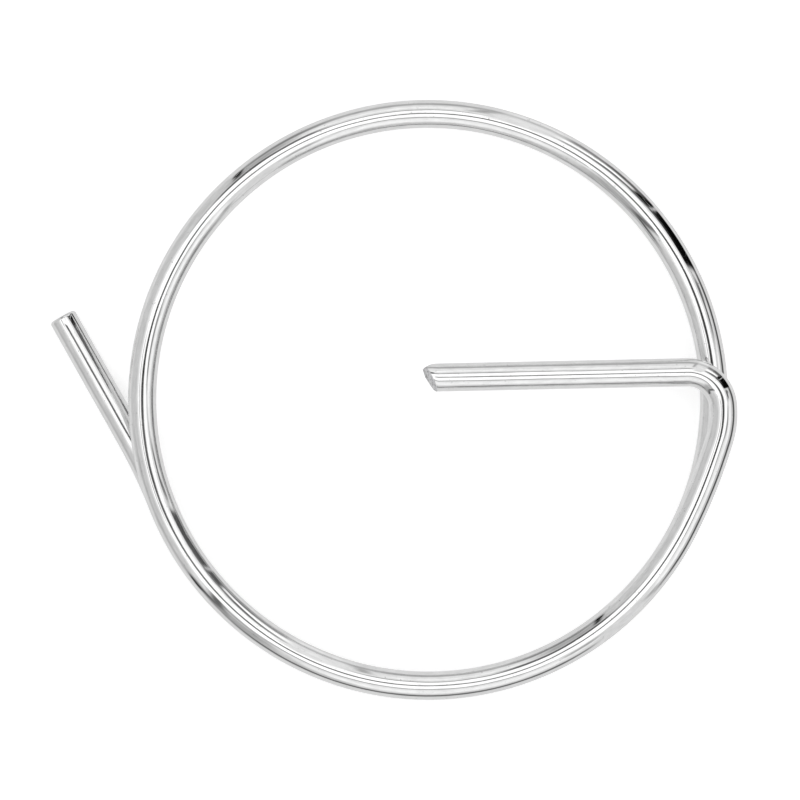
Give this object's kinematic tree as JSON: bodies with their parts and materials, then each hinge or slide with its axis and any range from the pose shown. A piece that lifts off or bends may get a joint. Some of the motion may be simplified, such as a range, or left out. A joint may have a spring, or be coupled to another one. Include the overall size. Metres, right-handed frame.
{
  "type": "lock ring",
  "caption": "Lock ring of round bright spring wire: overlapping coil, a straight leg bent inwards to lock through a cross hole, and a short pull tail pointing outwards.",
  "frame": {"origin": "on the ring's axis, in the plane that the ring lies on", "axes": "+Z along the ring's axis towards the turn that carries the locking leg; the leg points towards -X; +Y towards the side of the ring's plane where the pull tail's tip is"},
  "size_m": [0.0733, 0.0642, 0.0075],
  "materials": {
    "wire": "bright plated spring wire, polished, with fine draw lines along the wire"
  },
  "bodies": {
    "root": {"lock_ring": "wire"}
  },
  "joints": []
}
